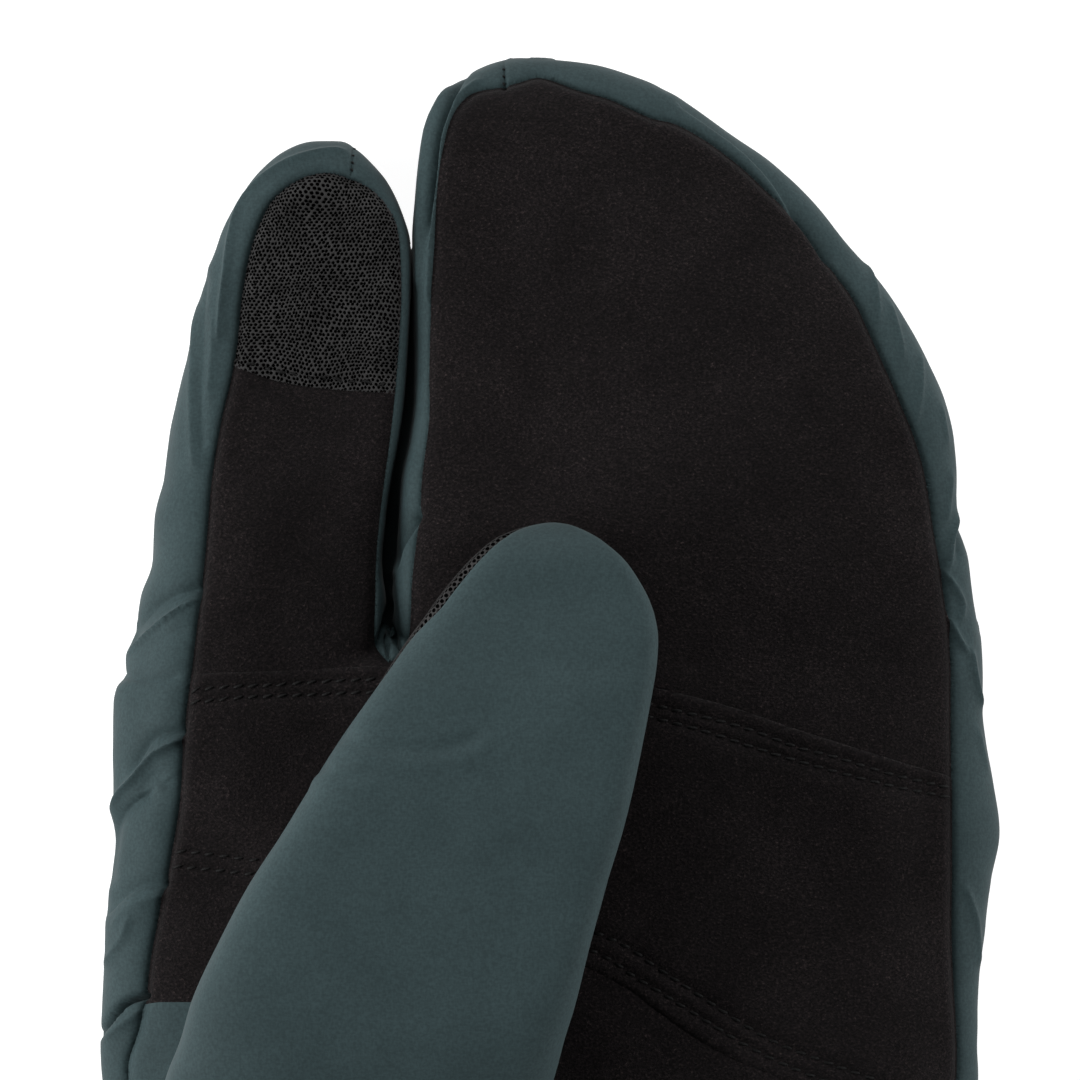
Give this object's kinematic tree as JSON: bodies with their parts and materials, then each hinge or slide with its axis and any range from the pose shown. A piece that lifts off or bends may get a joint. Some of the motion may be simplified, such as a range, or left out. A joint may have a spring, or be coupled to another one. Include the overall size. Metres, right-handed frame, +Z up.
{
  "type": "mitten",
  "caption": "Padded winter mitten for the left hand, with a separate index finger, a wide finger pocket and a thumb folded over a suede palm.",
  "frame": {"origin": "middle of the bounding box at its base, on the surface that the back of the mitten lies on", "axes": "+Y from the cuff to the fingertips, +X across the palm away from the thumb side, +Z up out of the palm"},
  "size_m": [0.1374, 0.2752, 0.0665],
  "materials": {
    "teal_nylon": "matt dark teal woven nylon over padding",
    "black_suede": "near-black micro suede with a short nap",
    "pebbled_leather": "black synthetic leather with a fine pebbled grain"
  },
  "bodies": {
    "root": {"back_shell": "teal_nylon", "finger_gusset": "teal_nylon", "thumb_gusset": "teal_nylon", "thumb_back": "teal_nylon", "cuff": "teal_nylon", "palm_panel": "black_suede", "palm_patch": "black_suede", "thumb_palm": "black_suede", "index_tip_patch": "pebbled_leather", "thumb_tip_patch": "pebbled_leather"}
  },
  "joints": []
}
